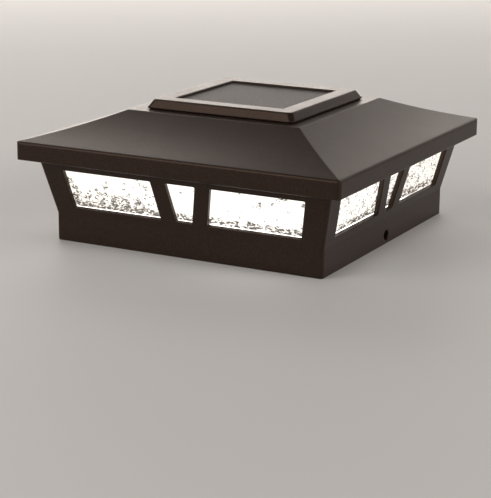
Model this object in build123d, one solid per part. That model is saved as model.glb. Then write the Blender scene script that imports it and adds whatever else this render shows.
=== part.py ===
from build123d import *
import math
import os

# Solar lantern cap for a nominal 6 x 6 timber post. Millimetres.
# The origin is the centre of the seat that rests on the post's end, +Z is up and -Y is the front.
# The base stays on the post. The roof lifts off it and carries the panel, lamps, battery and switch.

# Post and adaptor
POST_SIDE = 139.7  # dressed size of a nominal 6 x 6 post
POST_SLACK = 0.35
ADAPTOR_WALL = 1.8
ADAPTOR_TOP_THICKNESS = 2.0
ADAPTOR_DEPTH = 14.6
ADAPTOR_RIB_SPACING = 30.0
ADAPTOR_LEAD_IN = (1.2, 3.0)  # the mouth's taper, across and up

# Screw holes
THREAD_RADIUS = 1.55
PASS_RADIUS = 1.7
SMALL_THREAD_RADIUS = 0.95
SMALL_PASS_RADIUS = 1.15

# Base casting
BASE_HALF = 80.5  # outside half width of the skirt, and of the wall where it starts to flare
SKIRT_DEPTH = 15.3
SKIRT_EDGE = 0.5
SKIRT_WALL = 2.8
SEAT_HALF = 69.0  # raised pad under the deck
SEAT_DROP = 0.8
DECK_TOP = 3.0
WALL = 2.4
WALL_FLARE = 0.225  # outwards for each millimetre up
WALL_TOP = 31.0
CORNER_ROUND = 1.6
FIXING_RADIUS = 3.1  # screw holes through the two side skirts
FIXING_Z = -10.3
FIXING_PASS_RADIUS = 3.4  # the same holes through the adaptor

# Window openings: one narrow and two wide on each side, with slanted bars between them
WINDOW_LOW = 4.2
WINDOW_HIGH = 25.5
WINDOW_SLANT = 4.1  # every upright edge leans outwards by this over the opening's height
MIDDLE_EDGE = 5.0
WIDE_INNER_EDGE = 13.8
WIDE_OUTER_EDGE = 68.6
WINDOW_ROUND = 0.8

# Glazing
SEAL_THICKNESS = 0.5
PANE_THICKNESS = 3.0
PANE_LOW = 2.6
PANE_HIGH = 28.2
PANE_LOW_HALF = 71.2
PANE_HIGH_HALF = 76.3
CLIP_THICKNESS = 0.6
CLIP_WIDTH = 5.0
CLIP_TOP = 21.0
CLIP_FOOT_OUT = 74.6
CLIP_FOOT_IN = 66.4

# Roof casting
EAVE_HALF = 96.0
FASCIA_LOW = 30.6
EAVE_TOP = 40.5  # where the slope would meet the upright fascia with no rounded edge
EAVE_ROUND = 1.5
EAVE_LOW_ROUND = 0.8
EAVE_CORNER = 2.2
PLATEAU_HALF = 52.0
PLATEAU_Z = 55.3
SLOPE_HOLLOW = 1.0  # how far the curved slopes dip below a straight line
ROOF_WALL = 2.4
SEAT_RIB_OUT = 87.4
SEAT_RIB_IN = 85.0
GASKET_THICKNESS = 0.6
PEG_PLACE = 69.0
PEG_RADIUS = 2.0
PEG_TIP = 14.6
PEG_BOSS_LOW = 32.5
PEG_BOSS_RADIUS = 4.2
GROMMET_RADIUS = 3.5
GROMMET_LOW = 13.0
CORNER_POST_RADIUS = 5.0
CORNER_POST_TOP = 24.0
GUSSET = (12.0, 2.4)
BORE_DEPTH = 8.0  # of the pegs' and the carrier screws' holes above their bosses' ends
LEAD_HOLE_RADIUS = 4.0

# Solar panel and its bezel
BEZEL_FOOT_HALF = 44.2
BEZEL_FOOT = 0.6  # the frame stands clear of the roof by this, on a narrower foot
BEZEL_LOW_HALF = 45.1
BEZEL_HIGH_HALF = 42.2
BEZEL_CORNER = 2.6
BEZEL_EDGE = 1.2
BEZEL_TOP = 60.5
BEZEL_LIP = 1.2
BEZEL_SCREW_PLACE = 40.2
BEZEL_BORE = (1.3, 3.4)
OPENING_HALF = 32.7
OPENING_BEVEL = 0.7
PANEL_HALF = 36.0
PANEL_GASKET_IN = 31.0
PANEL_GASKET = 0.8
BACKING = 1.6
CELL_THICKNESS = 0.3
CELL_COUNT = 4
CELL_GAP = 0.8
CELL_FIELD_HALF = 32.0

# Lamp carrier and what it holds
CARRIER_LOW = 27.5
CARRIER_TOP = 29.5
CARRIER_HALF = 78.5
CARRIER_NOTCH = 61.0  # the corners beyond this are cut away round the corner posts
CARRIER_RIM = 1.5
CARRIER_SCREW_PLACE = 52.0
CARRIER_BOSS_RADIUS = 4.0
LED_PLACE = (39.0, -69.0)
LED_RADIUS = 2.5
LED_BOARD = (16.0, 9.0, 1.6)
LED_HOLE_RADIUS = 2.4
CELL_RADIUS = 7.2  # AA rechargeable cell
CELL_LENGTH = 49.4
CELL_Z = 38.0
BOX_INNER = (29.0, 8.1)
BOX_WALL = 1.5
BOX_TOP = 47.0
BOX_EAR = (22.0, 12.8)
HINGE_Y = -10.4
HINGE_Z = 26.4
KNUCKLE_RADIUS = 1.8
PIN_RADIUS = 1.0
DOOR_HALF = (28.9, 8.1)
DOOR_THICKNESS = 1.8
DOOR_KNUCKLE_HALF = 8.0
CARRIER_KNUCKLE = (8.3, 14.0)
BOARD_CENTRE_Y = 32.0
BOARD_SIZE = (40.0, 24.0, 1.6)
BOARD_Z = 32.6
BOARD_SCREW_PLACE = (17.4, 9.4)
SWITCH_X = 9.0
SWITCH_BODY = (13.0, 7.0)
SWITCH_FLOOR = 1.1
SWITCH_TRAVEL = 3.0
SWITCH_STEM = (3.0, 2.6)
SWITCH_FLANGE = (4.6, 4.4, 1.0)
SWITCH_KNOB_LOW = 25.2
RUNNING_GAP = 0.3

# Reflector tray
TRAY_LOW = 4.6
TRAY_THICKNESS = 1.2
TRAY_FLOOR_HALF = 60.0
TRAY_RIM_HALF = 64.2
TRAY_RIM_Z = 7.4
TRAY_SCREW_PLACE = 48.0
TRAY_BOSS_RADIUS = 3.5
TRAY_RIB = (80.0, 1.2, 0.6)

SLOPE_LENGTH = math.hypot(1.0, WALL_FLARE)  # length up the wall for each millimetre of height
WALL_ACROSS = WALL * SLOPE_LENGTH  # the wall's thickness measured level
FOUR_CORNERS = ((1, 1), (-1, 1), (-1, -1), (1, -1))
PANEL_GLASS_TOP = BEZEL_TOP - BEZEL_LIP
BACKING_LOW = PLATEAU_Z + PANEL_GASKET
CELLS_LOW = BACKING_LOW + BACKING


# ---------------------------------------------------------------- helpers

def block(size_x, size_y, low, high, x=0.0, y=0.0):
    """Return an upright block between two levels."""
    return Pos(x, y, (low + high) / 2) * Box(size_x, size_y, high - low)


def rod(radius, low, high, x=0.0, y=0.0):
    """Return an upright cylinder between two levels."""
    return Pos(x, y, (low + high) / 2) * Cylinder(radius, high - low)


def cross_rod(radius, x_low, x_high, y, z):
    """Return a cylinder along X."""
    return Pos((x_low + x_high) / 2, y, z) * Rot(0, 90, 0) * Cylinder(radius, x_high - x_low)


def frustum(low_half, high_half, low, high):
    """Return a square block whose half width changes evenly between two levels."""
    low_face = Plane.XY.offset(low) * Rectangle(2 * low_half, 2 * low_half)
    high_face = Plane.XY.offset(high) * Rectangle(2 * high_half, 2 * high_half)
    return loft([low_face, high_face], ruled=True)


def rounded_block(low_half, high_half, low, high, corner):
    """Return a square block with rounded corners whose half width may change between two levels."""
    low_face = Plane.XY.offset(low) * RectangleRounded(2 * low_half, 2 * low_half, corner)
    high_face = Plane.XY.offset(high) * RectangleRounded(2 * high_half, 2 * high_half, corner)
    return loft([low_face, high_face], ruled=True)


def square_frame(out_half, in_half, low, high):
    """Return a square ring between two levels."""
    return block(2 * out_half, 2 * out_half, low, high) - block(2 * in_half, 2 * in_half, low - 1, high + 1)


def four_sides(shape):
    """Return the shape turned to each of the four sides."""
    return [Rot(0, 0, 90 * quarter) * shape for quarter in range(4)]


def front_and_back(shape):
    """Return the shape as placed at the front, and turned round to the back."""
    return [shape, Rot(0, 0, 180) * shape]


def at_corners(place, make):
    """Return make(x, y) at the four corners (+-place, +-place)."""
    return [make(place * sx, place * sy) for sx, sy in FOUR_CORNERS]


def screw(x, y, seat, thread_end, shank_radius, head_radius, head_height, up=True):
    """Return a cross-recess pan screw whose head bears on the level called seat."""
    way = 1 if up else -1
    top = seat + way * head_height
    head = rod(head_radius, min(seat, top), max(seat, top), x, y)
    crown = head.edges().filter_by(GeomType.CIRCLE).sort_by(Axis.Z)[-1 if up else 0]
    head = fillet(crown, 0.45 * head_height)
    shank = rod(shank_radius, min(seat, thread_end), max(seat, thread_end), x, y)
    recess_low, recess_high = sorted((top - way * 0.5 * head_height, top + way))
    slot = block(1.2 * head_radius, 0.28 * head_radius, recess_low, recess_high, x, y)
    cross = slot + block(0.28 * head_radius, 1.2 * head_radius, recess_low, recess_high, x, y)
    return head + shank - cross


def lead(points, bend, radius):
    """Return a round wire along straight runs joined by arcs."""
    path = FilletPolyline(*points, radius=bend)
    return sweep(Plane(origin=path @ 0, z_dir=path % 0) * Circle(radius), path=path)


def save(name, shapes):
    """Write one sub-part, a single solid or a group of separate ones, to its own file."""
    solids = []
    for shape in shapes if isinstance(shapes, list) else [shapes]:
        solids.extend(shape.solids())
    whole = solids[0] if len(solids) == 1 else Compound(children=solids)
    whole.label = name
    export_step(whole, f"parts/{name}.step")


# ---------------------------------------------------------------- base

def wall_half(z):
    """Return the outside half width of the flared wall at a height."""
    return BASE_HALF + WALL_FLARE * z


# Lies in the outside face of the front wall: x along the post's side, y up the wall, z outwards.
WALL_FACE = Plane(origin=(0, -BASE_HALF, 0), x_dir=(1, 0, 0), z_dir=(0, -1, -WALL_FLARE))


def window_outlines(grow):
    """Return the three openings of one side as flat outlines, each edge moved out by grow."""
    low = WINDOW_LOW * SLOPE_LENGTH - grow
    high = WINDOW_HIGH * SLOPE_LENGTH + grow
    lean = WINDOW_SLANT
    inner = WIDE_INNER_EDGE - grow
    outer = WIDE_OUTER_EDGE + grow
    middle = MIDDLE_EDGE + grow
    wide = Polygon((inner, low), (outer, low), (outer + lean, high), (inner + lean, high), align=None)
    narrow = Polygon(
        (-middle, low), (middle, low), (middle + lean, high), (-middle - lean, high), align=None
    )
    outlines = [wide, mirror(wide, about=Plane.YZ), narrow]
    return [fillet(outline.vertices(), WINDOW_ROUND) for outline in outlines]


def wall_layer(outline, depth, thickness):
    """Return a flat outline as a plate behind the front wall's face, starting at a depth."""
    return WALL_FACE * Pos(0, 0, -depth - thickness) * extrude(outline, thickness)


def pane_outline():
    """Return the outline of one side's glass."""
    return Polygon(
        (-PANE_LOW_HALF, PANE_LOW), (PANE_LOW_HALF, PANE_LOW),
        (PANE_HIGH_HALF, PANE_HIGH), (-PANE_HIGH_HALF, PANE_HIGH), align=None,
    )


def corner_post(x, y):
    """Return one post in the wall's corner, with the gusset that joins it to the wall."""
    turn = math.degrees(math.atan2(y, x))
    length, thickness = GUSSET
    middle = PEG_PLACE * math.sqrt(2) + CORNER_POST_RADIUS / 2 + length / 2
    gusset = Rot(0, 0, turn) * block(length, thickness, DECK_TOP - 0.5, CORNER_POST_TOP - 2, middle)
    return rod(CORNER_POST_RADIUS, DECK_TOP - 0.5, CORNER_POST_TOP, x, y) + gusset


def base_casting():
    """Return the skirt, deck and flared wall as one casting."""
    wall = rounded_block(BASE_HALF, wall_half(WALL_TOP), 0, WALL_TOP, CORNER_ROUND)
    skirt = rounded_block(BASE_HALF, BASE_HALF, -SKIRT_DEPTH, 0, CORNER_ROUND)
    skirt = chamfer(skirt.edges().group_by(Axis.Z)[0], SKIRT_EDGE)
    outside = wall + skirt
    chamber = frustum(
        wall_half(DECK_TOP) - WALL_ACROSS, wall_half(WALL_TOP + 1) - WALL_ACROSS, DECK_TOP, WALL_TOP + 1
    )
    socket_half = BASE_HALF - SKIRT_WALL
    socket = block(2 * socket_half, 2 * socket_half, -SKIRT_DEPTH - 1, SEAT_DROP)
    casting = outside - chamber - socket
    casting += block(2 * SEAT_HALF, 2 * SEAT_HALF, 0, SEAT_DROP + 0.5)
    for post in at_corners(PEG_PLACE, corner_post):
        casting += post & outside
    boss_low = DECK_TOP - 0.5
    for boss in at_corners(TRAY_SCREW_PLACE, lambda x, y: rod(TRAY_BOSS_RADIUS, boss_low, TRAY_LOW, x, y)):
        casting += boss
    for bore in at_corners(TRAY_SCREW_PLACE, lambda x, y: rod(THREAD_RADIUS, 1.5, TRAY_LOW + 1, x, y)):
        casting -= bore
    bore_top = CORNER_POST_TOP + 1
    for bore in at_corners(PEG_PLACE, lambda x, y: rod(GROMMET_RADIUS, GROMMET_LOW, bore_top, x, y)):
        casting -= bore
    openings = [wall_layer(outline, -1, WALL + 2) for outline in window_outlines(0)]
    for side in range(4):
        for opening in openings:
            casting -= Rot(0, 0, 90 * side) * opening
        for x in clip_places():
            casting -= Rot(0, 0, 90 * side) * rod(1.3, 1.4, DECK_TOP + 1, x, clip_screw_y())
    reach = 2 * BASE_HALF + 10
    casting -= cross_rod(FIXING_RADIUS, -reach / 2, reach / 2, 0, FIXING_Z)
    return casting


def post_adaptor():
    """Return the ring that centres the skirt on the post."""
    out_half = BASE_HALF - SKIRT_WALL - RUNNING_GAP
    in_half = POST_SIDE / 2 + POST_SLACK
    low = SEAT_DROP - ADAPTOR_TOP_THICKNESS - ADAPTOR_DEPTH + 1.2
    flange_low = SEAT_DROP - ADAPTOR_TOP_THICKNESS
    ring = square_frame(out_half, in_half, flange_low, SEAT_DROP)
    ring += square_frame(out_half, out_half - ADAPTOR_WALL, low, flange_low + 0.2)
    inner_wall = square_frame(in_half + ADAPTOR_WALL, in_half, low, flange_low + 0.2)
    taper, taper_height = ADAPTOR_LEAD_IN
    mouth = frustum(in_half + taper, in_half, low, low + taper_height)
    ring += inner_wall - mouth
    middle = (out_half + in_half) / 2
    span = out_half - in_half - 0.4
    for place in (-2.0, -1.0, 1.0, 2.0):
        rib = block(ADAPTOR_WALL, span, low + 1.5, flange_low + 0.2, place * ADAPTOR_RIB_SPACING, middle)
        for turned in four_sides(rib):
            ring += turned
    ring -= cross_rod(FIXING_PASS_RADIUS, -BASE_HALF, BASE_HALF, 0, FIXING_Z)
    return ring


def pane(side):
    """Return one side's strip of glass, side 0 being the front and counting to the right."""
    return Rot(0, 0, 90 * side) * wall_layer(pane_outline(), WALL + SEAL_THICKNESS, PANE_THICKNESS)


def pane_seals():
    """Return the four thin seals between glass and wall."""
    outline = pane_outline()
    for opening in window_outlines(0.7):
        outline -= opening
    return four_sides(wall_layer(outline, WALL, SEAL_THICKNESS))


def clip_places():
    """Return where along a side the two glass clips stand, behind the slanted bars."""
    middle = (MIDDLE_EDGE + WIDE_INNER_EDGE) / 2
    return (-middle, middle)


def clip_screw_y():
    """Return how far the front side's clip screws stand from the middle."""
    return -(CLIP_FOOT_IN + CLIP_FOOT_OUT) / 2 + 0.6


def pane_clips():
    """Return eight bent clips, each with a foot on the deck and a leaf against the glass."""
    depth = WALL + SEAL_THICKNESS + PANE_THICKNESS
    lean = WINDOW_SLANT * CLIP_TOP / (WINDOW_HIGH - WINDOW_LOW) / SLOPE_LENGTH
    clips = []
    for x in clip_places():
        shift = math.copysign(lean, x)
        half = CLIP_WIDTH / 2
        leaf = Polygon(
            (x - half, 1.6), (x + half, 1.6), (x + half + shift, CLIP_TOP), (x - half + shift, CLIP_TOP),
            align=None,
        )
        upright = wall_layer(leaf, depth, CLIP_THICKNESS)
        length = CLIP_FOOT_OUT - CLIP_FOOT_IN
        foot = block(
            8.0, length, DECK_TOP, DECK_TOP + CLIP_THICKNESS, x, -(CLIP_FOOT_OUT + CLIP_FOOT_IN) / 2
        )
        above_deck = block(30, 30, DECK_TOP, 30, x, -75)
        clip = (upright + foot) & above_deck
        clip -= rod(1.5, DECK_TOP - 1, DECK_TOP + 1.5, x, clip_screw_y())
        clips.extend(four_sides(clip))
    return clips


def clip_screws():
    """Return the eight screws that hold the clips down."""
    seat = DECK_TOP + CLIP_THICKNESS
    screws = []
    for x in clip_places():
        screws.extend(four_sides(screw(x, clip_screw_y(), seat, 1.5, 1.25, 2.4, 1.5)))
    return screws


def reflector_tray():
    """Return the white pan that throws the light up and out."""
    floor_top = TRAY_LOW + TRAY_THICKNESS
    outside = frustum(TRAY_FLOOR_HALF, TRAY_RIM_HALF, TRAY_LOW, TRAY_RIM_Z)
    flare = (TRAY_RIM_HALF - TRAY_FLOOR_HALF) / (TRAY_RIM_Z - TRAY_LOW)
    low_half = TRAY_FLOOR_HALF + flare * TRAY_THICKNESS - 1.8
    high_half = low_half + flare * (TRAY_RIM_Z + 1 - floor_top)
    inside = frustum(low_half, high_half, floor_top, TRAY_RIM_Z + 1)
    tray = outside - inside
    rib_length, rib_width, rib_height = TRAY_RIB
    for place in (-30.0, -10.0, 10.0, 30.0):
        tray += block(rib_length, rib_width, floor_top - 0.3, floor_top + rib_height, 0, place)
    hole_low = TRAY_LOW - 1
    for hole in at_corners(TRAY_SCREW_PLACE, lambda x, y: rod(PASS_RADIUS, hole_low, floor_top + 1, x, y)):
        tray -= hole
    return tray


def tray_screws():
    """Return the four screws through the tray's corners."""
    seat = TRAY_LOW + TRAY_THICKNESS
    return at_corners(TRAY_SCREW_PLACE, lambda x, y: screw(x, y, seat, 1.6, 1.5, 2.8, 1.6))


def peg_grommet(x, y):
    """Return one rubber bush with its flange on the corner post's top."""
    bush = rod(GROMMET_RADIUS, GROMMET_LOW, CORNER_POST_TOP, x, y)
    flange = rod(CORNER_POST_RADIUS - 0.3, CORNER_POST_TOP, CORNER_POST_TOP + 1, x, y)
    return bush + flange - rod(PEG_RADIUS + 0.05, GROMMET_LOW - 1, CORNER_POST_TOP + 2, x, y)


def roof_gasket():
    """Return the foam strip along the wall's top."""
    out_half = wall_half(WALL_TOP) - 0.2
    in_half = wall_half(WALL_TOP) - WALL_ACROSS + 0.1
    return square_frame(out_half, in_half, WALL_TOP, WALL_TOP + GASKET_THICKNESS)


# ---------------------------------------------------------------- roof

def roof_profile():
    """Return the roof's upright section: level top, hollow-curved slopes and upright fascia."""
    middle = ((PLATEAU_HALF + EAVE_HALF) / 2, (PLATEAU_Z + EAVE_TOP) / 2 - SLOPE_HOLLOW)
    slope = ThreePointArc((PLATEAU_HALF, PLATEAU_Z), middle, (EAVE_HALF, EAVE_TOP))
    half = slope + Polyline((EAVE_HALF, EAVE_TOP), (EAVE_HALF, FASCIA_LOW), (0, FASCIA_LOW))
    top = Line((-PLATEAU_HALF, PLATEAU_Z), (PLATEAU_HALF, PLATEAU_Z))
    return Plane.XZ * make_face(half + mirror(half, about=Plane.YZ) + top)


def roof_form():
    """Return the roof's filled form, where two such sections cross, with its eave's edges rounded."""
    ridge = extrude(roof_profile(), EAVE_HALF, both=True)
    for level, radius in ((EAVE_TOP, EAVE_ROUND), (FASCIA_LOW, EAVE_LOW_ROUND)):
        long_edges = ridge.edges().filter_by(Axis.Y)
        ridge = fillet(long_edges.filter_by_position(Axis.Z, level - 0.01, level + 0.01), radius)
    corners = block(2 * EAVE_HALF, 2 * EAVE_HALF, FASCIA_LOW, PLATEAU_Z)
    corners = fillet(corners.edges().filter_by(Axis.Z), EAVE_CORNER)
    return ridge & (Rot(0, 0, 90) * ridge) & corners


def roof_casting():
    """Return the roof shell with its seat rib, bosses and holes."""
    outside = roof_form()
    room_half = EAVE_HALF - ROOF_WALL
    room = block(2 * room_half, 2 * room_half, FASCIA_LOW - 1, PLATEAU_Z)
    casting = outside - (Pos(0, 0, -ROOF_WALL) * outside & room)
    rib_low = WALL_TOP + GASKET_THICKNESS
    casting += square_frame(SEAT_RIB_OUT, SEAT_RIB_IN, rib_low, EAVE_TOP + 1.5) & outside
    for place, radius, low in (
        (PEG_PLACE, PEG_BOSS_RADIUS, PEG_BOSS_LOW),
        (CARRIER_SCREW_PLACE, CARRIER_BOSS_RADIUS, CARRIER_TOP),
    ):
        for boss in at_corners(place, lambda x, y: rod(radius, low, PLATEAU_Z, x, y)):
            casting += boss & outside
    for place, radius, low in (
        (PEG_PLACE, PEG_RADIUS, PEG_BOSS_LOW),
        (CARRIER_SCREW_PLACE, THREAD_RADIUS, CARRIER_TOP),
    ):
        for bore in at_corners(place, lambda x, y: rod(radius, low - 1, low + BORE_DEPTH, x, y)):
            casting -= bore
    hole_low = PLATEAU_Z - ROOF_WALL - 1
    for hole in at_corners(BEZEL_SCREW_PLACE, lambda x, y: rod(PASS_RADIUS, hole_low, PLATEAU_Z + 1, x, y)):
        casting -= hole
    return casting - rod(LEAD_HOLE_RADIUS, hole_low, PLATEAU_Z + 1)


def locating_peg(x, y):
    """Return one peg with a tapered tip."""
    shank = rod(PEG_RADIUS, PEG_TIP + 2, PEG_BOSS_LOW + BORE_DEPTH, x, y)
    tip = Pos(x, y, PEG_TIP + 1) * Rot(180, 0, 0) * Cone(PEG_RADIUS, 0.5 * PEG_RADIUS, 2)
    return shank + tip


def panel_bezel():
    """Return the raised frame that holds the solar panel down."""
    body_low = PLATEAU_Z + BEZEL_FOOT
    foot = rounded_block(BEZEL_FOOT_HALF, BEZEL_FOOT_HALF, PLATEAU_Z, body_low + 0.3, BEZEL_CORNER)
    body = rounded_block(BEZEL_LOW_HALF, BEZEL_HIGH_HALF, body_low, BEZEL_TOP, BEZEL_CORNER)
    body = fillet(body.edges().group_by(Axis.Z)[-1], BEZEL_EDGE)
    cavity_half = PANEL_HALF + 0.2
    bezel = foot + body - block(2 * cavity_half, 2 * cavity_half, PLATEAU_Z - 1, PANEL_GLASS_TOP)
    bezel -= frustum(OPENING_HALF, OPENING_HALF + OPENING_BEVEL, BEZEL_TOP - OPENING_BEVEL, BEZEL_TOP)
    bezel -= block(2 * OPENING_HALF, 2 * OPENING_HALF, PANEL_GLASS_TOP - 1, BEZEL_TOP + 1)
    radius, depth = BEZEL_BORE
    bore_top = PLATEAU_Z + depth
    for bore in at_corners(BEZEL_SCREW_PLACE, lambda x, y: rod(radius, PLATEAU_Z - 1, bore_top, x, y)):
        bezel -= bore
    return bezel


def bezel_screws():
    """Return the four screws that pull the bezel down from inside the roof."""
    seat = PLATEAU_Z - ROOF_WALL
    place = BEZEL_SCREW_PLACE
    return at_corners(place, lambda x, y: screw(x, y, seat, PLATEAU_Z + 3.2, 1.25, 2.6, 1.5, up=False))


def solar_cells():
    """Return the strip cells side by side under the cover glass."""
    width = (2 * CELL_FIELD_HALF - (CELL_COUNT - 1) * CELL_GAP) / CELL_COUNT
    cells = []
    for index in range(CELL_COUNT):
        x = -CELL_FIELD_HALF + width / 2 + index * (width + CELL_GAP)
        cells.append(block(width, 2 * CELL_FIELD_HALF, CELLS_LOW, CELLS_LOW + CELL_THICKNESS, x))
    return cells


def panel_glass():
    """Return the cover glass, hollowed underneath round the cells."""
    glass = block(2 * PANEL_HALF, 2 * PANEL_HALF, CELLS_LOW, PANEL_GLASS_TOP)
    for cell in solar_cells():
        glass -= cell
    return glass


# ---------------------------------------------------------------- lamp carrier

def carrier_outline():
    """Return the carrier plate's outline, a square with its corners cut away."""
    outline = Rectangle(2 * CARRIER_HALF, 2 * CARRIER_HALF)
    cut = CARRIER_HALF - CARRIER_NOTCH
    place = CARRIER_NOTCH + cut / 2
    for sx, sy in FOUR_CORNERS:
        outline -= Pos(sx * place, sy * place) * Rectangle(cut, cut)
    return outline


def carrier_knuckle(x_low, x_high):
    """Return one fixed hinge knuckle hanging under the carrier."""
    barrel = cross_rod(KNUCKLE_RADIUS, x_low, x_high, HINGE_Y, HINGE_Z)
    web = Pos((x_low + x_high) / 2, HINGE_Y - 2, (HINGE_Z - KNUCKLE_RADIUS + CARRIER_LOW + 0.3) / 2) * Box(
        x_high - x_low, 4, CARRIER_LOW + 0.3 - HINGE_Z + KNUCKLE_RADIUS
    )
    return barrel + web


def lamp_carrier():
    """Return the plate that closes the light chamber from above and holds the electrics."""
    outline = carrier_outline()
    rim = outline - offset(outline, -CARRIER_RIM)
    carrier = Pos(0, 0, CARRIER_LOW) * extrude(outline, CARRIER_TOP - CARRIER_LOW)
    carrier += Pos(0, 0, CARRIER_LOW) * extrude(rim, CARRIER_TOP - CARRIER_LOW + 2.0)
    for x in (-BOARD_SCREW_PLACE[0], BOARD_SCREW_PLACE[0]):
        for y in (-BOARD_SCREW_PLACE[1], BOARD_SCREW_PLACE[1]):
            carrier += rod(2.2, CARRIER_TOP - 0.5, BOARD_Z, x, BOARD_CENTRE_Y + y)
            carrier -= rod(SMALL_THREAD_RADIUS, CARRIER_LOW + 1, BOARD_Z + 1, x, BOARD_CENTRE_Y + y)
    bay = block(2 * DOOR_HALF[0] + 1, 2 * DOOR_HALF[1] + 0.8, CARRIER_LOW - 1, CARRIER_TOP + 1)
    knuckle_bay = block(
        2 * DOOR_KNUCKLE_HALF + 0.6, 6, CARRIER_LOW - 1, CARRIER_TOP + 1, 0, HINGE_Y + 0.8
    )
    carrier = carrier - bay - knuckle_bay
    near, far = CARRIER_KNUCKLE
    carrier += carrier_knuckle(near, far)
    carrier += carrier_knuckle(-far, -near)
    carrier -= cross_rod(PIN_RADIUS + 0.02, -far - 1, far + 1, HINGE_Y, HINGE_Z)
    slot = SWITCH_STEM[0] + SWITCH_TRAVEL + 2 * RUNNING_GAP
    carrier -= block(
        slot, SWITCH_STEM[1] + 2 * RUNNING_GAP, CARRIER_LOW - 1, CARRIER_TOP + 1, SWITCH_X, BOARD_CENTRE_Y
    )
    below, above = CARRIER_LOW - 1, CARRIER_TOP + 1
    for hole in at_corners(CARRIER_SCREW_PLACE, lambda x, y: rod(PASS_RADIUS, below, above, x, y)):
        carrier -= hole
    for hole in front_and_back(rod(LED_HOLE_RADIUS, below, above, *LED_PLACE)):
        carrier -= hole
    ear_x, ear_y = BOX_EAR
    for way in (1, -1):
        carrier -= rod(SMALL_THREAD_RADIUS, CARRIER_LOW + 0.4, above, way * ear_x, way * ear_y)
    return carrier


def carrier_screws():
    """Return the four screws up through the carrier into the roof's bosses."""
    place = CARRIER_SCREW_PLACE
    return at_corners(
        place, lambda x, y: screw(x, y, CARRIER_LOW, CARRIER_TOP + BORE_DEPTH, 1.5, 2.8, 1.6, up=False)
    )


def battery_box():
    """Return the cell's housing, open towards its door."""
    half_x, half_y = BOX_INNER
    box = block(2 * (half_x + BOX_WALL), 2 * (half_y + BOX_WALL), CARRIER_TOP, BOX_TOP)
    for way in (1, -1):
        x, y = way * BOX_EAR[0], way * BOX_EAR[1]
        box += rod(3.4, CARRIER_TOP, CARRIER_TOP + 2, x, y)
        box += block(6.8, 3.4, CARRIER_TOP, CARRIER_TOP + 2, x, y - way * 1.7)
    box -= block(2 * half_x, 2 * half_y, CARRIER_TOP - 1, BOX_TOP - BOX_WALL)
    for way in (1, -1):
        box -= rod(SMALL_PASS_RADIUS, CARRIER_TOP - 1, CARRIER_TOP + 3, way * BOX_EAR[0], way * BOX_EAR[1])
        tab_slot = Pos(way * (half_x + BOX_WALL / 2), 0, CELL_Z - 2) * Box(3 * BOX_WALL, 3.4, 0.9)
        box -= tab_slot
    return box


def battery_cell():
    """Return one AA cell with its raised positive end."""
    low_x = -BOX_INNER[0] + 0.6
    nub = 1.4
    can = cross_rod(CELL_RADIUS, low_x + nub, low_x + CELL_LENGTH, 0, CELL_Z)
    can = fillet(can.edges().filter_by(GeomType.CIRCLE), 0.6)
    return can + cross_rod(2.7, low_x, low_x + nub + 0.5, 0, CELL_Z)


def contact_leaf(way):
    """Return a contact plate against the box's end wall, with its solder tab through the wall."""
    inner = BOX_INNER[0]
    plate = Pos(way * (inner - 0.3), 0, CELL_Z) * Box(0.6, 10, 11)
    tab = Pos(way * (inner + 2.2), 0, CELL_Z - 2) * Box(5.0, 2.8, 0.5)
    return plate + tab


def contact_spring():
    """Return the plate at the cell's flat end and the coil that presses the cell home."""
    plate_face = BOX_INNER[0] - 0.6
    cell_end = -BOX_INNER[0] + 0.6 + CELL_LENGTH
    wire = 0.4
    clear = 0.05
    height = plate_face - cell_end - 2 * (wire + clear)
    coil_path = Helix(pitch=height / 3, height=height, radius=4.0)
    start = Plane(origin=coil_path @ 0, z_dir=coil_path % 0)
    coil = sweep(start * Circle(wire), path=coil_path, is_frenet=True)
    placed = Pos(plate_face - wire - clear, 0, CELL_Z) * Rot(0, -90, 0) * coil
    return [contact_leaf(1), placed]


def battery_door():
    """Return the hinged door under the cell."""
    plate = block(2 * DOOR_HALF[0], 2 * DOOR_HALF[1], CARRIER_LOW, CARRIER_LOW + DOOR_THICKNESS)
    barrel = cross_rod(KNUCKLE_RADIUS, -DOOR_KNUCKLE_HALF, DOOR_KNUCKLE_HALF, HINGE_Y, HINGE_Z)
    web_low = HINGE_Z - 0.6
    web = block(2 * DOOR_KNUCKLE_HALF, 4.2, web_low, CARRIER_LOW + DOOR_THICKNESS, 0, HINGE_Y + 2.3)
    pull = block(12, 1.4, CARRIER_LOW - 0.9, CARRIER_LOW + 0.5, 0, DOOR_HALF[1] - 0.7)
    bore = cross_rod(PIN_RADIUS + 0.06, -DOOR_HALF[0], DOOR_HALF[0], HINGE_Y, HINGE_Z)
    return plate + barrel + web + pull - bore


def control_board():
    """Return the small circuit board over the switch."""
    board = block(BOARD_SIZE[0], BOARD_SIZE[1], BOARD_Z, BOARD_Z + BOARD_SIZE[2], 0, BOARD_CENTRE_Y)
    for x in (-BOARD_SCREW_PLACE[0], BOARD_SCREW_PLACE[0]):
        for y in (-BOARD_SCREW_PLACE[1], BOARD_SCREW_PLACE[1]):
            board -= rod(SMALL_PASS_RADIUS, BOARD_Z - 1, BOARD_Z + 3, x, BOARD_CENTRE_Y + y)
    return board


def board_screws():
    """Return the board's four small screws."""
    seat = BOARD_Z + BOARD_SIZE[2]
    screws = []
    for x in (-BOARD_SCREW_PLACE[0], BOARD_SCREW_PLACE[0]):
        for y in (-BOARD_SCREW_PLACE[1], BOARD_SCREW_PLACE[1]):
            screws.append(screw(x, BOARD_CENTRE_Y + y, seat, CARRIER_LOW + 1.2, 0.9, 1.8, 1.2))
    return screws


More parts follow.
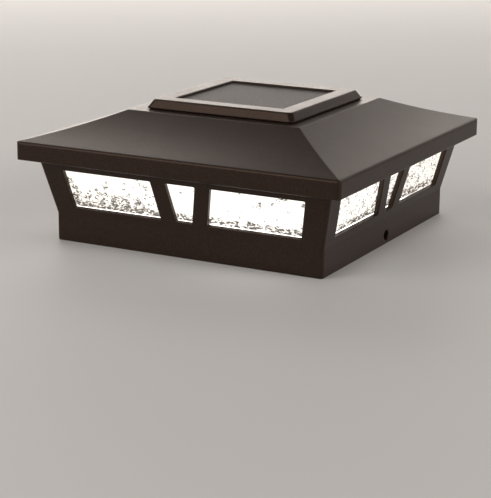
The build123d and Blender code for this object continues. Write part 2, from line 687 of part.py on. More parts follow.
def board_components():
    """Return the charging chip, coil, capacitor and three small resistors."""
    top = BOARD_Z + BOARD_SIZE[2]
    chip = block(6.0, 4.0, top, top + 1.6, -8, BOARD_CENTRE_Y + 1)
    coil = rod(2.6, top, top + 3.2, 9, BOARD_CENTRE_Y - 1)
    capacitor = rod(2.5, top, top + 7.0, 0, BOARD_CENTRE_Y + 2)
    capacitor = fillet(capacitor.edges().filter_by(GeomType.CIRCLE).sort_by(Axis.Z)[-1], 0.5)
    resistors = [block(2.0, 1.2, top, top + 0.6, -12 + 3.4 * i, BOARD_CENTRE_Y - 5) for i in range(3)]
    return [chip, coil, capacitor] + resistors


def switch_body():
    """Return the slide switch's housing, soldered under the control board."""
    low = CARRIER_TOP + 0.1
    body = block(SWITCH_BODY[0], SWITCH_BODY[1], low, BOARD_Z, SWITCH_X, BOARD_CENTRE_Y)
    gap = 2 * RUNNING_GAP
    stem_slot = SWITCH_STEM[0] + SWITCH_TRAVEL + gap
    body -= block(stem_slot, SWITCH_STEM[1] + gap, low - 1, BOARD_Z - 0.5, SWITCH_X, BOARD_CENTRE_Y)
    room_x = SWITCH_FLANGE[0] + SWITCH_TRAVEL + gap
    room_low = low + SWITCH_FLOOR - RUNNING_GAP
    room_high = low + SWITCH_FLOOR + SWITCH_FLANGE[2] + RUNNING_GAP
    body -= block(room_x, SWITCH_FLANGE[1] + gap, room_low, room_high, SWITCH_X, BOARD_CENTRE_Y)
    return body


def switch_knob():
    """Return the switch's slider in its off position."""
    x = SWITCH_X - SWITCH_TRAVEL / 2
    flange_low = CARRIER_TOP + 0.1 + SWITCH_FLOOR
    flange_high = flange_low + SWITCH_FLANGE[2]
    stem = block(SWITCH_STEM[0], SWITCH_STEM[1], SWITCH_KNOB_LOW, flange_high, x, BOARD_CENTRE_Y)
    knob = stem + block(SWITCH_FLANGE[0], SWITCH_FLANGE[1], flange_low, flange_high, x, BOARD_CENTRE_Y)
    for place in (-0.9, 0.0, 0.9):
        knob -= block(0.35, 4, SWITCH_KNOB_LOW - 1, SWITCH_KNOB_LOW + 0.35, x + place, BOARD_CENTRE_Y)
    return knob


def led(x, y):
    """Return one five-millimetre lamp, lens down."""
    flange_low = CARRIER_LOW - LED_BOARD[2] - 1.0
    tip_centre = flange_low - 2.3
    lens = rod(LED_RADIUS, tip_centre, flange_low, x, y) + Pos(x, y, tip_centre) * Sphere(LED_RADIUS)
    return lens + rod(LED_RADIUS + 0.4, flange_low, flange_low + 1.0, x, y)


def led_leads():
    """Return the lamps' two-core leads, from the lamp boards to the control board."""
    end = BOARD_Z + BOARD_SIZE[2]
    over = 38.0
    row = BOARD_CENTRE_Y + 9.0
    x, y = LED_PLACE
    front = [(x, y, CARRIER_LOW), (x, y, 33), (50, -40, 35), (50, 14, 36), (34, 42, 37), (12, 47, over)]
    back = [(-x, -y, CARRIER_LOW), (-x, -y, 33), (-20, 60, 36), (-4, 54, over)]
    leads = []
    for points, last_x in ((front, 12), (back, -4)):
        route = points + [(last_x, row, over), (last_x, row, end)]
        leads.append(lead(route, 1.6, 0.8))
    return leads


def panel_lead(x):
    """Return one wire from the solar panel down to the control board."""
    end = BOARD_Z + BOARD_SIZE[2]
    row = BOARD_CENTRE_Y - 7.0
    return lead([(x, 0, BACKING_LOW), (x, 0, 50.4), (x, 15, 50.4), (x, row, 44), (x, row, end)], 1.6, 0.7)


def battery_lead(way):
    """Return one wire from a battery contact to the control board."""
    end = BOARD_Z + BOARD_SIZE[2]
    tab = BOX_INNER[0] + 4.7
    z = CELL_Z - 2
    out = tab + 4.5
    route = [(tab, 0, z), (out, 0, z), (out, 20, z), (28, 32, 38), (16.5, 32, 38), (16.5, 32, end)]
    return lead([(way * px, py, pz) for px, py, pz in route], 1.6, 0.7)


def main():
    """Write every sub-part."""
    os.makedirs("parts", exist_ok=True)
    save("base_casting", base_casting())
    save("post_adaptor", post_adaptor())
    for side, name in enumerate(("front", "right", "back", "left")):
        save(f"pane_{name}", pane(side))
    save("pane_seals", pane_seals())
    save("pane_clips", pane_clips())
    save("clip_screws", clip_screws())
    save("reflector_tray", reflector_tray())
    save("tray_screws", tray_screws())
    save("peg_grommets", at_corners(PEG_PLACE, peg_grommet))
    save("roof_gasket", roof_gasket())

    save("roof_casting", roof_casting())
    save("locating_pegs", at_corners(PEG_PLACE, locating_peg))
    save("panel_bezel", panel_bezel())
    save("bezel_screws", bezel_screws())
    save("panel_gasket", square_frame(PANEL_HALF, PANEL_GASKET_IN, PLATEAU_Z, BACKING_LOW))
    save("panel_backing", block(2 * PANEL_HALF, 2 * PANEL_HALF, BACKING_LOW, CELLS_LOW))
    save("solar_cells", solar_cells())
    save("panel_glass", panel_glass())

    save("lamp_carrier", lamp_carrier())
    save("carrier_screws", carrier_screws())
    save("battery_box", battery_box())
    ears = [(way * BOX_EAR[0], way * BOX_EAR[1]) for way in (1, -1)]
    save("box_screws", [screw(x, y, CARRIER_TOP + 2, CARRIER_LOW + 0.6, 0.9, 1.8, 1.2) for x, y in ears])
    save("battery_cell", battery_cell())
    save("contact_plate", contact_leaf(-1))
    save("contact_spring", contact_spring())
    save("door_hinge_pin", cross_rod(PIN_RADIUS, -14.4, 14.4, HINGE_Y, HINGE_Z))
    save("battery_door", battery_door())
    save("control_board", control_board())
    save("board_screws", board_screws())
    save("board_components", board_components())
    save("switch_body", switch_body())
    save("switch_knob", switch_knob())
    board_low = CARRIER_LOW - LED_BOARD[2]
    led_board = block(LED_BOARD[0], LED_BOARD[1], board_low, CARRIER_LOW, *LED_PLACE)
    save("led_boards", front_and_back(led_board))
    save("leds", front_and_back(led(*LED_PLACE)))
    save("led_leads", led_leads())
    save("panel_lead_red", panel_lead(-2.2))
    save("panel_lead_black", panel_lead(2.2))
    save("battery_lead_red", battery_lead(-1))
    save("battery_lead_black", battery_lead(1))


main()
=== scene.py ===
import math

import bpy
from mathutils import Matrix, Vector, noise


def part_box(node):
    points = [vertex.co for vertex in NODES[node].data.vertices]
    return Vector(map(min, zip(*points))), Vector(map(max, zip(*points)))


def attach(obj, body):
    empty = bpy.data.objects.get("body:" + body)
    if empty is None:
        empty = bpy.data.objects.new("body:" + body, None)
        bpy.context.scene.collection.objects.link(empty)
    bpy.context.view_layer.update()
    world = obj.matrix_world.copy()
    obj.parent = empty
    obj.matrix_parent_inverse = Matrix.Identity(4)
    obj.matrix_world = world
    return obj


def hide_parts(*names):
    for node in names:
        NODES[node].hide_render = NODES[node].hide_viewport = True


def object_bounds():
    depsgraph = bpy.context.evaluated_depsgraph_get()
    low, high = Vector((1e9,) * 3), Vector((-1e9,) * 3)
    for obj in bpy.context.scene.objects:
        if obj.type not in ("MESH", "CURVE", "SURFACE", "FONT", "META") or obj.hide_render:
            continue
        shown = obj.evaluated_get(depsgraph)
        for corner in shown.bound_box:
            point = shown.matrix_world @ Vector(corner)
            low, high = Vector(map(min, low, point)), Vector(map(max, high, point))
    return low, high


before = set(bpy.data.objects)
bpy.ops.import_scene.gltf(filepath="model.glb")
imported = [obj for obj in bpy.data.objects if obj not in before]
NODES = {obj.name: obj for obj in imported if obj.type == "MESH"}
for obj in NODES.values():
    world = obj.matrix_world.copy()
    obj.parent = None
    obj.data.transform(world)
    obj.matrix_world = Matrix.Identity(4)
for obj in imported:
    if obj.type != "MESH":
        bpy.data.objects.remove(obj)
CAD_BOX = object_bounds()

# The looks of a solar lantern cap for a timber post: dark bronze powder coat, seeded glass with a painted
# glow, a solar panel whose grey is a painted reflection, and the electrics under the roof. Metres, in the
# CAD model's own frame.

MM = 0.001

# Camera: where it stands round the object, and the point that it is aimed at
CAMERA_AZIMUTH = math.radians(27.83)
CAMERA_ELEVATION = math.radians(15.17)
CAMERA_ROLL = math.radians(0.5)
CAMERA_DISTANCE = 0.954
CAMERA_TARGET = Vector((-0.0049, -0.0026, -0.0290))
CAMERA_LENS = 120.7

# Seeded glass: the mesh's step and relief, and the levels of the windows that show it
WINDOW_LOW = 4.2 * MM
WINDOW_HIGH = 25.5 * MM
GLASS_STEP = 0.65 * MM
GLASS_RELIEF = 0.45 * MM
PEBBLE = 1.9 * MM
SWIRL = 5.5 * MM

# Painted lamp light given off by the glass, light given off by the lamps' lenses, and how far from a lamp
# the glass's painted glow dims
GLASS_GLOW = 3.0
LENS_GLOW = 30.0
DIM_START = 38 * MM
DIM_END = 118 * MM

# Painted shade in the glow of the glass: the dark band along its foot, and dark squiggles by their distance
# from a lamp
SHADE_BAND_LOW = WINDOW_LOW + 3.4 * MM
SHADE_BAND_HIGH = WINDOW_LOW + 5.4 * MM
SHADE_BAND_RAGGED = 9 * MM
SWIRLS_START = 42 * MM
SWIRLS_FULL = 78 * MM
SWIRLS_FADE = 104 * MM
SWIRLS_END = 120 * MM

# Dark bronze powder coat
PAINT_ROUGHNESS = 0.31
PAINT_GRAIN = 0.9 * MM
PAINT_RELIEF = 0.08 * MM
EDGE_ROUND = 1.1 * MM
LEVEL_ENOUGH = 0.98  # dust lies only where the surface's upward part is more than this
DUST_SHARE = 0.22

# Stage: the floor, the even light all round, and each softbox's place, size and power in watts
FLOOR_SIZE = 12.0
ROOM_COLOUR = (1.0, 0.97, 0.94)
ROOM_LIGHT = 0.15
WARM = (1.0, 0.92, 0.85)
WARMER = (1.0, 0.90, 0.82)
SOFTBOXES = (
    ("back_strip", (-0.80, 1.60, 0.28), (2.8, 0.46), 14.0, WARM),
    ("back_window", (-0.85, 2.50, 1.42), (4.3, 0.90), 5.4, WARM),
    ("left_window", (-1.20, 1.00, 0.85), (0.8, 0.6), 3.2, WARM),
    ("front_window", (-0.75, -1.05, 1.00), (0.9, 1.0), 5.6, WARM),
    ("edge_strip", (-0.65, -1.24, 0.46), (1.2, 0.16), 2.8, WARM),
    ("key_right", (1.40, 0.10, 0.55), (0.8, 0.8), 7.2, WARMER),
    ("right_window", (1.10, -1.10, 0.95), (0.9, 0.7), 2.2, WARM),
)


# ---------------------------------------------------------------- material helpers

def new_material(name, roughness, metallic=0.0, specular=0.5):
    """Return a material's node tree and its shader; constant values sit on the shader's own sockets."""
    material = bpy.data.materials.new(name)
    material.use_nodes = True
    tree = material.node_tree
    shader = tree.nodes["Principled BSDF"]
    shader.inputs["Roughness"].default_value = roughness
    shader.inputs["Metallic"].default_value = metallic
    shader.inputs["Specular IOR Level"].default_value = specular
    return material, tree, shader


def add_node(tree, kind, settings=None, inputs=None):
    """Return a new node with its settings, and with each input given a value or a link."""
    node = tree.nodes.new(kind)
    for key, value in (settings or {}).items():
        setattr(node, key, value)
    for key, value in (inputs or {}).items():
        if isinstance(value, bpy.types.NodeSocket):
            tree.links.new(value, node.inputs[key])
        else:
            node.inputs[key].default_value = value
    return node


def place_of(tree):
    """Return the point being shaded, in metres in the object's own frame."""
    return add_node(tree, "ShaderNodeTexCoord").outputs["Object"]


def noise_at(tree, size, detail=2.0, rough=0.5, stretch=None, warp=0.0):
    """Return a noise from 0 to 1 whose features are about size metres across."""
    point = place_of(tree)
    if stretch:
        point = add_node(tree, "ShaderNodeMapping", inputs={"Vector": point, "Scale": stretch}).outputs[0]
    inputs = {"Vector": point, "Scale": 1.0 / size, "Detail": detail, "Roughness": rough, "Distortion": warp}
    return add_node(tree, "ShaderNodeTexNoise", inputs=inputs).outputs["Fac"]


def cells_at(tree, size):
    """Return the distance to the middle of the nearest cell, of cells about size metres across."""
    inputs = {"Vector": place_of(tree), "Scale": 1.0 / size}
    return add_node(tree, "ShaderNodeTexVoronoi", {"feature": "F1"}, inputs).outputs["Distance"]


def math_of(tree, operation, first, second=0.0):
    """Return one arithmetic step."""
    node = add_node(tree, "ShaderNodeMath", {"operation": operation})
    for socket, value in zip(node.inputs, (first, second)):
        if isinstance(value, bpy.types.NodeSocket):
            tree.links.new(value, socket)
        else:
            socket.default_value = value
    return node.outputs[0]


def times(tree, first, second):
    """Return the product of two values."""
    return math_of(tree, "MULTIPLY", first, second)


def size_of(tree, value):
    """Return a value without its sign."""
    return math_of(tree, "ABSOLUTE", value)


def off_middle(tree, value):
    """Return how far above or below its middle, 0.5, a noise lies."""
    return math_of(tree, "SUBTRACT", value, 0.5)


def remap(tree, value, low, high, to_low=0.0, to_high=1.0, smooth=True):
    """Return value carried from one range to another, held at both ends."""
    settings = {"interpolation_type": "SMOOTHSTEP" if smooth else "LINEAR", "clamp": True}
    inputs = {0: value, 1: low, 2: high, 3: to_low, 4: to_high}
    return add_node(tree, "ShaderNodeMapRange", settings, inputs).outputs[0]


def blend_colours(tree, amount, first, second):
    """Return a colour between two, each a triple or a link."""
    node = add_node(tree, "ShaderNodeMix", {"data_type": "RGBA"})
    colours = [socket for socket in node.inputs if socket.type == "RGBA"]
    for socket, value in zip(colours, (first, second)):
        if isinstance(value, bpy.types.NodeSocket):
            tree.links.new(value, socket)
        else:
            socket.default_value = (*value, 1.0)
    if isinstance(amount, bpy.types.NodeSocket):
        tree.links.new(amount, node.inputs[0])
    else:
        node.inputs[0].default_value = amount
    return [socket for socket in node.outputs if socket.type == "RGBA"][0]


def set_bump(tree, shader, height, depth, edge_round=0.0):
    """Give the shader a fine relief of a depth in metres, over edges softened by a radius."""
    bump = add_node(tree, "ShaderNodeBump", inputs={"Height": height, "Distance": depth, "Strength": 1.0})
    if edge_round:
        edges = add_node(tree, "ShaderNodeBevel", {"samples": 6}, {"Radius": edge_round})
        tree.links.new(edges.outputs[0], bump.inputs["Normal"])
    tree.links.new(bump.outputs[0], shader.inputs["Normal"])


def axis_of(tree, axis):
    """Return one coordinate of the point being shaded."""
    return add_node(tree, "ShaderNodeSeparateXYZ", inputs={0: place_of(tree)}).outputs[axis]


def give(material, slot, *names):
    """Put a material on CAD nodes. The slot argument is not used."""
    for name in names:
        node = NODES[name]
        node.data.materials.clear()
        node.data.materials.append(material)


# ---------------------------------------------------------------- materials

def bronze_paint():
    """Dark bronze powder coat: a fine pebbled film with a little dust on what faces up."""
    material, tree, shader = new_material("bronze_powder_coat", PAINT_ROUGHNESS, specular=0.38)
    shader.inputs["Specular Tint"].default_value = (1.0, 0.76, 0.63, 1.0)
    mottle = noise_at(tree, 22 * MM, detail=4.0)
    grain = noise_at(tree, PAINT_GRAIN, detail=3.0, rough=0.6)
    paint = blend_colours(tree, mottle, (0.0130, 0.0062, 0.0042), (0.0185, 0.0100, 0.0073))
    paint = blend_colours(tree, remap(tree, grain, 0.35, 0.75, 0.0, 0.30), paint, (0.060, 0.040, 0.031))
    facing = add_node(tree, "ShaderNodeNewGeometry").outputs["Normal"]
    upward = add_node(tree, "ShaderNodeSeparateXYZ", inputs={0: facing}).outputs["Z"]
    level = remap(tree, upward, LEVEL_ENOUGH, 1.0)
    specks = remap(tree, noise_at(tree, 1.1 * MM, detail=5.0, rough=0.75), 0.50, 0.70)
    dust = times(tree, times(tree, level, specks), DUST_SHARE)
    tree.links.new(blend_colours(tree, dust, paint, (0.44, 0.37, 0.31)), shader.inputs["Base Color"])
    roughness = remap(tree, mottle, 0.3, 0.7, PAINT_ROUGHNESS - 0.01, PAINT_ROUGHNESS + 0.02)
    tree.links.new(roughness, shader.inputs["Roughness"])
    set_bump(tree, shader, grain, PAINT_RELIEF, edge_round=EDGE_ROUND)
    return material


def lamp_points():
    """Return the middle of each lamp, found from the lamps' own solids."""
    mesh = NODES["leds"].data
    front = [v.co for v in mesh.vertices if v.co.y < 0]
    back = [v.co for v in mesh.vertices if v.co.y > 0]
    return [sum(points, Vector()) / len(points) for points in (front, back)]


def lamp_distance(tree):
    """Return the distance in metres from the point being shaded to the nearer lamp."""
    point = place_of(tree)
    spans = []
    for lamp in lamp_points():
        settings = {"operation": "DISTANCE"}
        spans.append(add_node(tree, "ShaderNodeVectorMath", settings, {0: point, 1: lamp}).outputs["Value"])
    return math_of(tree, "MINIMUM", *spans)


def foot_painted_shade(tree, height):
    """Return painted shade: a dark, ragged, broken band along the foot of every window."""
    ragged = times(tree, off_middle(tree, noise_at(tree, 4.0 * MM, detail=3.0)), SHADE_BAND_RAGGED)
    ragged_height = math_of(tree, "ADD", height, ragged)
    # painted shade: the band darkens the glass's glow near the window's foot
    band = remap(tree, ragged_height, SHADE_BAND_LOW, SHADE_BAND_HIGH, 1.0, 0.0)
    band_breaks = remap(tree, noise_at(tree, 1.7 * MM, detail=2.0, stretch=(0.8, 0.6, 1.5), warp=0.6), 0.41, 0.55)
    return times(tree, band, band_breaks)


def painted_shade_swirls(tree, height, span):
    """Return painted shade: thin dark squiggles in patches, most of them low down and halfway between the
    lamps.
    """
    below_top = remap(tree, height, WINDOW_LOW + 5.0 * MM, WINDOW_HIGH - 2 * MM, 1.0, 0.15, smooth=False)
    middle_way = remap(tree, span, SWIRLS_START, SWIRLS_FULL, 0.0, 0.9)
    far_way = remap(tree, span, SWIRLS_FADE, SWIRLS_END, 1.0, 0.30)
    # painted shade: more squiggles where the glass is far from a lamp
    share = times(tree, times(tree, middle_way, far_way), below_top)
    patch = math_of(tree, "ADD", noise_at(tree, 5.0 * MM, detail=2.0), times(tree, share, 0.24))
    swirl = noise_at(tree, 3.4 * MM, detail=2.5, rough=0.6, stretch=(1.0, 0.7, 1.7), warp=0.9)
    line = remap(tree, size_of(tree, off_middle(tree, swirl)), 0.030, 0.080, 1.0, 0.0)
    return times(tree, line, remap(tree, patch, 0.60, 0.67))


def side_painted_specks(tree, away):
    """Return painted shade: fine dark specks all over the panes of the two sides only, standing in for the
    glass's relief seen at a slant.
    """
    sideways = size_of(tree, axis_of(tree, "X"))
    side = remap(tree, math_of(tree, "SUBTRACT", sideways, size_of(tree, axis_of(tree, "Y"))), 0.0, 2 * MM)
    # painted shade: dark specks only on the panes that face the sides
    dark_specks = remap(tree, noise_at(tree, 0.9 * MM, detail=1.0, stretch=(1.0, 0.6, 1.0)), 0.53, 0.62)
    strength = math_of(tree, "ADD", times(tree, away, 0.10), 0.70)
    return times(tree, times(tree, dark_specks, side), strength)


def lit_edge(tree, height, span):
    """Return a painted highlight: the bright line along the very foot of a window, fainter far from the
    lamps.
    """
    edge = remap(tree, height, WINDOW_LOW + 0.5 * MM, WINDOW_LOW + 0.9 * MM, 1.0, 0.0)
    return times(tree, edge, remap(tree, span, SWIRLS_FADE, 116 * MM, 1.0, 0.2))


def seeded_glass():
    """Seeded glass lit by painted lamp light: an emitted glow, nearly white and dimmer far from the lamps,
    with painted dark swirls of shade that gather low down and away from the lamps.
    """
    material, tree, shader = new_material("seeded_glass_lit", 0.06, specular=0.6)
    shader.inputs["Base Color"].default_value = (0.10, 0.095, 0.085, 1.0)
    span = lamp_distance(tree)
    # how far the painted glow has dimmed, from the nearer lamp outward
    away = remap(tree, span, DIM_START, DIM_END, smooth=False)
    height = axis_of(tree, "Z")
    swirls = math_of(tree, "MAXIMUM", painted_shade_swirls(tree, height, span), foot_painted_shade(tree, height))
    shade = math_of(tree, "MAXIMUM", swirls, side_painted_specks(tree, away))
    # painted lamp light: the glow of the clear glass, a little dimmer and warmer far from the lamps
    clear = blend_colours(tree, away, (0.44, 0.425, 0.398), (0.40, 0.375, 0.340))
    glow = blend_colours(tree, shade, clear, (0.040, 0.034, 0.029))
    # painted highlight along the foot of each window
    glow = blend_colours(tree, lit_edge(tree, height, span), glow, (1.0, 0.96, 0.90))
    tree.links.new(glow, shader.inputs["Emission Color"])
    shader.inputs["Emission Strength"].default_value = GLASS_GLOW
    return material


def panel_cover():
    """The solar panel's satin cover, its grey a painted reflection of bright surroundings on the dark cells,
    with a fine prism pattern.
    """
    material, tree, shader = new_material("solar_cover_painted_reflection", 0.45, specular=0.06)
    cloud = noise_at(tree, 15 * MM, detail=3.0)
    prism = cells_at(tree, 0.9 * MM)
    # painted reflection: the grey base colour stands in for bright surroundings mirrored in the dark, glossy
    # cover
    colour = blend_colours(tree, cloud, (0.080, 0.073, 0.069), (0.098, 0.090, 0.086))
    fleck = remap(tree, noise_at(tree, 1.1 * MM, detail=2.0), 0.54, 0.66)
    colour = blend_colours(tree, times(tree, fleck, 0.10), colour, (0.55, 0.53, 0.50))
    tree.links.new(colour, shader.inputs["Base Color"])
    set_bump(tree, shader, prism, 0.04 * MM)
    return material


def moulded(name, colour, roughness, grain_depth=0.03):
    """A moulded plastic or painted film: a slight colour drift and a fine grain."""
    material, tree, shader = new_material(name, roughness)
    darker = tuple(channel * 0.88 for channel in colour)
    drift = noise_at(tree, 9 * MM, detail=3.0)
    tree.links.new(blend_colours(tree, drift, darker, colour), shader.inputs["Base Color"])
    grain = noise_at(tree, 0.45 * MM, detail=2.0)
    gloss = remap(tree, drift, 0.3, 0.7, roughness - 0.04, roughness + 0.05)
    tree.links.new(gloss, shader.inputs["Roughness"])
    set_bump(tree, shader, grain, grain_depth * MM)
    return material


def plated_steel(name, colour, stretch=(1.0, 1.0, 12.0)):
    """Plated steel with fine drawn lines and a few dull patches."""
    material, tree, shader = new_material(name, 0.32, metallic=1.0)
    lines = noise_at(tree, 0.5 * MM, detail=3.0, stretch=stretch)
    patches = noise_at(tree, 3 * MM, detail=3.0)
    dull = tuple(channel * 0.72 for channel in colour)
    tree.links.new(blend_colours(tree, patches, colour, dull), shader.inputs["Base Color"])
    tree.links.new(remap(tree, lines, 0.3, 0.7, 0.24, 0.44), shader.inputs["Roughness"])
    set_bump(tree, shader, lines, 0.01 * MM)
    return material


def foam():
    """Closed-cell foam strip."""
    material, tree, shader = new_material("foam_strip", 0.85, specular=0.2)
    pores = cells_at(tree, 0.6 * MM)
    colour = blend_colours(tree, remap(tree, pores, 0.2, 0.8), (0.055, 0.055, 0.057), (0.030, 0.030, 0.031))
    tree.links.new(colour, shader.inputs["Base Color"])
    set_bump(tree, shader, pores, 0.12 * MM)
    return material


def solar_cell():
    """Crystalline cells with fine silver fingers across them."""
    material, tree, shader = new_material("solar_cells", 0.30)
    crystal = cells_at(tree, 5 * MM)
    colour = blend_colours(tree, crystal, (0.018, 0.024, 0.050), (0.034, 0.040, 0.070))
    period = 2.0 * MM
    finger = math_of(tree, "PINGPONG", axis_of(tree, "Y"), period / 2)
    silver = remap(tree, finger, 0.0, 0.12 * MM, 1.0, 0.0)
    tree.links.new(blend_colours(tree, silver, colour, (0.55, 0.55, 0.56)), shader.inputs["Base Color"])
    return material


def board_green():
    """Solder mask over copper runs, with bare pads between."""
    material, tree, shader = new_material("solder_mask", 0.28)
    runs = noise_at(tree, 3.0 * MM, detail=1.0, stretch=(1.0, 2.0, 1.0))
    copper = remap(tree, size_of(tree, off_middle(tree, runs)), 0.02, 0.04, 1.0, 0.0)
    colour = blend_colours(tree, copper, (0.012, 0.085, 0.035), (0.030, 0.160, 0.060))
    tree.links.new(colour, shader.inputs["Base Color"])
    set_bump(tree, shader, copper, 0.03 * MM)
    return material


def cell_wrap():
    """The battery's printed sleeve: a plain green body, a pale band and bare steel at the raised end."""
    material, tree, shader = new_material("cell_sleeve", 0.22)
    raised_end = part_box("battery_cell")[0].x
    along = math_of(tree, "SUBTRACT", axis_of(tree, "X"), raised_end)
    band = remap(tree, along, 12.0 * MM, 12.3 * MM, 1.0, 0.0)
    steel = remap(tree, along, 2.2 * MM, 2.4 * MM, 1.0, 0.0)
    drift = noise_at(tree, 6 * MM, detail=2.0)
    green = blend_colours(tree, drift, (0.030, 0.130, 0.095), (0.040, 0.160, 0.115))
    colour = blend_colours(tree, band, green, (0.62, 0.60, 0.54))
    tree.links.new(blend_colours(tree, steel, colour, (0.60, 0.59, 0.56)), shader.inputs["Base Color"])
    tree.links.new(steel, shader.inputs["Metallic"])
    return material


def led_lens():
    """Lit lamp lenses, brightest at the tip."""
    material, tree, shader = new_material("led_lens_lit", 0.08)
    low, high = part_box("leds")
    tip = remap(tree, axis_of(tree, "Z"), low.z, high.z, 1.0, 0.25)
    glow = blend_colours(tree, tip, (0.55, 0.34, 0.14), (1.0, 0.86, 0.62))
    tree.links.new(glow, shader.inputs["Emission Color"])
    shader.inputs["Base Color"].default_value = (0.95, 0.90, 0.75, 1.0)
    shader.inputs["Emission Strength"].default_value = LENS_GLOW
    return material


def dress_nodes():
    """Give every CAD node its material."""
    give(bronze_paint(), "bronze_paint", "base_casting", "roof_casting", "panel_bezel")
    give(panel_cover(), "panel_cover", "panel_glass")
    give(solar_cell(), "solar_cell", "solar_cells")
    white = moulded("white_moulding", (0.80, 0.79, 0.76), 0.42)
    give(white, "white_plastic", "lamp_carrier", "reflector_tray", "battery_door")
    black = moulded("black_moulding", (0.030, 0.030, 0.032), 0.50, grain_depth=0.06)
    give(black, "black_plastic", "post_adaptor", "battery_box", "switch_body", "switch_knob")
    rubber = moulded("black_rubber", (0.022, 0.022, 0.022), 0.72, grain_depth=0.05)
    give(rubber, "rubber", "pane_seals", "peg_grommets")
    give(foam(), "foam", "roof_gasket", "panel_gasket")
    zinc = plated_steel("zinc_plate", (0.62, 0.61, 0.57))
    screws = ("clip_screws", "tray_screws", "bezel_screws", "carrier_screws", "box_screws", "board_screws")
    give(zinc, "zinc_steel", "pane_clips", "locating_pegs", "door_hinge_pin", *screws)
    nickel = plated_steel("nickel_plate", (0.72, 0.69, 0.63), stretch=(12.0, 1.0, 1.0))
    give(nickel, "contact_nickel", "contact_plate", "contact_spring")
    give(board_green(), "board_green", "control_board")
    mask = moulded("white_solder_mask", (0.80, 0.80, 0.78), 0.30)
    give(mask, "board_white", "panel_backing", "led_boards")
    casing = moulded("component_moulding", (0.028, 0.028, 0.030), 0.38)
    give(casing, "component_black", "board_components")
    give(cell_wrap(), "cell_wrap", "battery_cell")
    give(led_lens(), "led_lens", "leds")
    red = moulded("red_insulation", (0.50, 0.030, 0.022), 0.40)
    give(red, "wire_red", "panel_lead_red", "battery_lead_red")
    dark = moulded("black_insulation", (0.026, 0.026, 0.027), 0.40)
    give(dark, "wire_black", "panel_lead_black", "battery_lead_black")
    give(moulded("white_insulation", (0.74, 0.74, 0.71), 0.40), "wire_white", "led_leads")


# ---------------------------------------------------------------- seeded glass panes

def pane_corners(name):
    """Return a pane's outer and inner faces, each as (low left, low right, high right, high left)."""
    corners = {tuple(round(c, 6) for c in v.co) for v in NODES[name].data.vertices}
    levels = sorted({z for _, _, z in corners})
    low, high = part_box(name)
    along = Vector((1, 0, 0)) if high.x - low.x > high.y - low.y else Vector((0, 1, 0))
    pairs = []
    for level in levels:
        pair = [Vector(c) for c in corners if c[2] == level]
        pairs.append(sorted(pair, key=lambda c: c.dot(along)))
    outer_low, inner_low, outer_high, inner_high = pairs
    outer = (outer_low[0], outer_low[1], outer_high[1], outer_high[0])
    inner = (inner_low[0], inner_low[1], inner_high[1], inner_high[0])
    return outer, inner


def seeded_height(reach, up, seed):
    """Return the relief from 0 to 1, by the distance from the low left corner and the height."""
    pebble = noise.noise(Vector((reach / PEBBLE, up / PEBBLE, seed)))
    fine = noise.noise(Vector((reach / (0.45 * PEBBLE), up / (0.45 * PEBBLE), seed + 7.3)))
    swirl = noise.noise(Vector((reach / SWIRL, 1.6 * up / SWIRL, seed + 3.1)))
    return min(1.0, max(0.0, 0.5 + 0.42 * pebble + 0.14 * fine + 0.22 * swirl))


def seeded_pane(name, seed):
    """Build one strip of seeded glass, pebbled on both faces, where its CAD plate is."""
    outer, inner = pane_corners(name)
    width = (outer[2] - outer[3]).length
    height = (outer[3] - outer[0]).length
    columns = int(width / GLASS_STEP)
    rows = int(height / GLASS_STEP)
    inward = ((inner[0] - outer[0]) + (inner[1] - outer[1])).normalized()
    vertices = []
    for face, way in ((outer, 1.0), (inner, -1.0)):
        for row in range(rows + 1):
            left = face[0].lerp(face[3], row / rows)
            right = face[1].lerp(face[2], row / rows)
            for column in range(columns + 1):
                point = left.lerp(right, column / columns)
                edge = row in (0, rows) or column in (0, columns)
                reach = (point - face[0]).length
                relief = 0.0 if edge else seeded_height(reach, height * row / rows, seed + way)
                vertices.append(point + inward * way * GLASS_RELIEF * relief)
    count = columns + 1
    layer = count * (rows + 1)
    faces = []
    for row in range(rows):
        for column in range(columns):
            a = row * count + column
            faces.append((a, a + 1, a + count + 1, a + count))
            faces.append((layer + a, layer + a + count, layer + a + count + 1, layer + a + 1))
    rim = list(range(columns))
    rim += [row * count + columns for row in range(rows)]
    rim += [rows * count + columns - c for c in range(columns)]
    rim += [(rows - row) * count for row in range(rows)]
    for index, a in enumerate(rim):
        b = rim[(index + 1) % len(rim)]
        faces.append((b, a, layer + a, layer + b))
    mesh = bpy.data.meshes.new("seeded_" + name)
    mesh.from_pydata([tuple(v) for v in vertices], [], faces)
    mesh.validate()
    mesh.shade_smooth()
    return bpy.data.objects.new("seeded_" + name, mesh)


def add_panes():
    """Put a seeded strip in place of each plain CAD pane."""
    glass = seeded_glass()
    for seed, name in enumerate(("pane_front", "pane_right", "pane_back", "pane_left")):
        strip = seeded_pane(name, 11.0 * seed)
        bpy.context.scene.collection.objects.link(strip)
        strip.data.materials.append(glass)
        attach(strip, "base")
        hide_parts(name)


# ---------------------------------------------------------------- stage

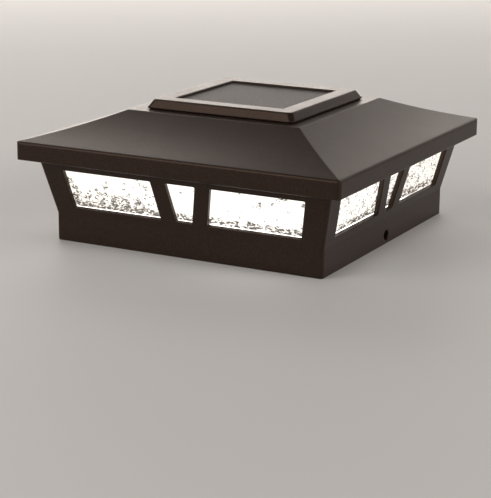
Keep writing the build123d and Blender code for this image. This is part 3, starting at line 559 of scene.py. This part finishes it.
def add_floor():
    """Lay the plain pale floor under the skirt's lower edge."""
    low = CAD_BOX[0].z
    half = FLOOR_SIZE / 2
    corners = [(-half, -half, low), (half, -half, low), (half, half, low), (-half, half, low)]
    mesh = bpy.data.meshes.new("floor")
    mesh.from_pydata(corners, [], [(0, 1, 2, 3)])
    floor = bpy.data.objects.new("floor", mesh)
    bpy.context.scene.collection.objects.link(floor)
    material, tree, shader = new_material("pale_floor", 0.62, specular=0.3)
    drift = noise_at(tree, 0.35, detail=2.0)
    colour = blend_colours(tree, drift, (0.76, 0.77, 0.78), (0.80, 0.81, 0.82))
    tree.links.new(colour, shader.inputs["Base Color"])
    mesh.materials.append(material)


def add_softbox(name, place, size, power, colour):
    """Add a soft rectangular light aimed at the object."""
    light = bpy.data.lights.new(name, "AREA")
    light.shape = "RECTANGLE"
    light.size, light.size_y = size
    light.energy = power
    light.color = colour
    lamp = bpy.data.objects.new(name, light)
    lamp.location = place
    lamp.rotation_mode = "QUATERNION"
    lamp.rotation_quaternion = (-Vector(place)).to_track_quat("-Z", "Y")
    bpy.context.scene.collection.objects.link(lamp)


def add_lights():
    """Light the stage softly, with long windows behind and smaller ones in front and on the right."""
    world = bpy.data.worlds.new("studio")
    world.use_nodes = True
    background = world.node_tree.nodes["Background"]
    background.inputs["Color"].default_value = (*ROOM_COLOUR, 1.0)
    background.inputs["Strength"].default_value = ROOM_LIGHT
    bpy.context.scene.world = world
    for name, place, size, power, colour in SOFTBOXES:
        add_softbox(name, place, size, power, colour)


def add_camera():
    """Stand the camera in front and to the right, looking a little down."""
    turn, rise = CAMERA_AZIMUTH, CAMERA_ELEVATION
    back = Vector((math.sin(turn) * math.cos(rise), -math.cos(turn) * math.cos(rise), math.sin(rise)))
    right = Vector((math.cos(turn), math.sin(turn), 0.0))
    up = back.cross(right)
    rolled_right = right * math.cos(CAMERA_ROLL) + up * math.sin(CAMERA_ROLL)
    rolled_up = up * math.cos(CAMERA_ROLL) - right * math.sin(CAMERA_ROLL)
    data = bpy.data.cameras.new("camera")
    data.lens = CAMERA_LENS
    data.sensor_fit = "AUTO"
    data.clip_start = 0.01
    data.clip_end = 50.0
    camera = bpy.data.objects.new("camera", data)
    axes = Matrix((rolled_right, rolled_up, back)).transposed()
    camera.matrix_world = Matrix.Translation(CAMERA_TARGET + back * CAMERA_DISTANCE) @ axes.to_4x4()
    bpy.context.scene.collection.objects.link(camera)
    bpy.context.scene.camera = camera


def set_view():
    """Show the colours as they are, with no film curve."""
    settings = bpy.context.scene.view_settings
    settings.view_transform = "Standard"
    settings.look = "None"


add_camera()
dress_nodes()
add_panes()
add_floor()
add_lights()
set_view()
